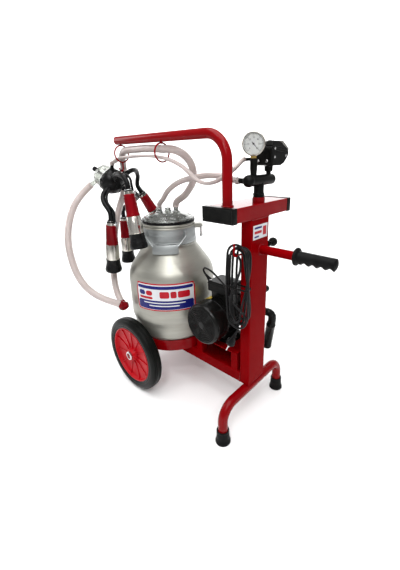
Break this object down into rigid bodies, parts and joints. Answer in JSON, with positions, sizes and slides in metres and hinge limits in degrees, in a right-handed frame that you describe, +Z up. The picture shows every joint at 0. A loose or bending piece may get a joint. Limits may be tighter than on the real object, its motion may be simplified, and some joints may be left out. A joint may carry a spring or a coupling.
{
  "type": "portable milking machine",
  "caption": "Two-wheeled bucket milking machine: box-column frame with push handle, motor and vacuum pump, milk can with clear lid, and a claw with teat cups hung from an overhead arm.",
  "frame": {"origin": "on the floor under the middle of the machine", "axes": "+X from the wheels towards the push handle, +Z up, -Y the side where the power cord hangs"},
  "size_m": [0.9135, 0.5028, 0.937],
  "materials": {
    "red_paint": "gloss",
    "red_plastic": "moulded",
    "black_paint": "gloss",
    "black_plastic": "satin",
    "black_rubber": "matte",
    "tyre_rubber": "matte",
    "aluminium": "satin",
    "steel": "polished",
    "grey_metal": "machined",
    "clear_plastic": "clear plastic",
    "clear_hose": "translucent"
  },
  "bodies": {
    "frame": {"axle": "grey_metal", "base_frame": "red_paint", "column_tank": "red_paint", "cord_gland": "black_plastic", "cord_hank": "black_rubber", "cord_lead": "black_rubber", "cord_tail": "black_rubber", "exhaust_silencer": "black_plastic", "fan_cowl": "black_paint", "foot_left": "black_rubber", "foot_right": "black_rubber", "front_leg": "red_paint", "gauge_case": "steel", "handle_grip": "black_rubber", "hanger_arm": "red_paint", "hose_ring_inner": "red_paint", "hose_ring_outer": "red_paint", "milk_can": "aluminium", "milk_hose_arm": "clear_hose", "milk_hose_lid": "clear_hose", "motor_body": "black_paint", "power_plug": "black_rubber", "pulsator_body": "black_plastic", "pulsator_cover": "grey_metal", "pulse_tube": "clear_hose", "pump_body": "black_paint", "regulator_body": "black_plastic", "suction_pipe": "black_rubber", "terminal_box": "black_plastic", "top_cap_left": "black_plastic", "top_cap_right": "black_plastic", "top_tank": "red_paint", "vacuum_hose": "clear_hose", "vacuum_manifold": "black_plastic"},
    "wheel_left": {"wheel_rim_left": "red_plastic", "tyre_left": "tyre_rubber"},
    "wheel_right": {"wheel_rim_right": "red_plastic", "tyre_right": "tyre_rubber"},
    "rotor": {"motor_rotor": "grey_metal", "pump_rotor": "grey_metal"},
    "lid": {"can_lid": "clear_plastic", "lid_gasket": "black_rubber"},
    "handle_left": {"can_handle_left": "steel"},
    "handle_right": {"can_handle_right": "steel"},
    "cluster": {"claw_body": "black_rubber", "claw_bowl": "clear_plastic", "milk_hose_claw": "clear_hose", "hose_joiner": "red_plastic", "teat_shell_1": "steel", "teat_shell_2": "steel", "teat_shell_3": "steel", "teat_shell_4": "steel", "teat_liner_1": "black_rubber", "teat_liner_2": "black_rubber", "teat_liner_3": "black_rubber", "teat_liner_4": "black_rubber"},
    "valve": {"claw_valve": "black_rubber"},
    "needle": {"gauge_needle": "black_paint"},
    "knob": {"regulator_knob": "black_plastic"},
    "rocker": {"switch_rocker": "black_plastic"}
  },
  "joints": [
    {"name": "wheel_left_spin", "type": "hinge", "parent": "frame", "child": "wheel_left", "pos_m": [-0.2167, -0.1795, 0.146], "axis": [0, 1, 0], "continuous": true},
    {"name": "wheel_right_spin", "type": "hinge", "parent": "frame", "child": "wheel_right", "pos_m": [-0.2167, 0.1795, 0.146], "axis": [0, 1, 0], "continuous": true},
    {"name": "rotor_spin", "type": "hinge", "parent": "frame", "child": "rotor", "pos_m": [0.0743, 0, 0.34], "axis": [0, 1, 0], "continuous": true},
    {"name": "lid_lift", "type": "slide", "parent": "frame", "child": "lid", "axis": [0, 0, 1], "range_m": [0, 0.06], "deforming": ["milk_hose_lid", "vacuum_hose"]},
    {"name": "can_handle_left_swing", "type": "hinge", "parent": "frame", "child": "handle_left", "pos_m": [-0.26363, -0.07963, 0.626], "axis": [-0.6691, 0.7431, 0], "range_deg": [0, 150]},
    {"name": "can_handle_right_swing", "type": "hinge", "parent": "frame", "child": "handle_right", "pos_m": [-0.08677, 0.07963, 0.626], "axis": [0.6691, -0.7431, 0], "range_deg": [0, 150]},
    {"name": "cluster_swing", "type": "hinge", "parent": "frame", "child": "cluster", "pos_m": [-0.2967, -0.097, 0.822], "axis": [1, 0, 0], "range_deg": [-10, 2], "deforming": ["milk_hose_arm", "pulse_tube"]},
    {"name": "claw_valve_push", "type": "slide", "parent": "cluster", "child": "valve", "axis": [0.7998, 0.2999, -0.5199], "range_m": [0, 0.005]},
    {"name": "needle_turn", "type": "hinge", "parent": "frame", "child": "needle", "pos_m": [0.20511, -0.00695, 0.896], "axis": [0.3746, -0.9272, 0], "range_deg": [0, 270], "stiffness_Nm_per_rad": 0.0005},
    {"name": "regulator_turn", "type": "hinge", "parent": "frame", "child": "knob", "pos_m": [0.2243, 0.08, 0.611], "axis": [0, 1, 0], "range_deg": [-160, 160]},
    {"name": "switch_rock", "type": "hinge", "parent": "frame", "child": "rocker", "pos_m": [0.1203, 0.011, 0.474], "axis": [0, 1, 0], "range_deg": [-16, 0]}
  ]
}
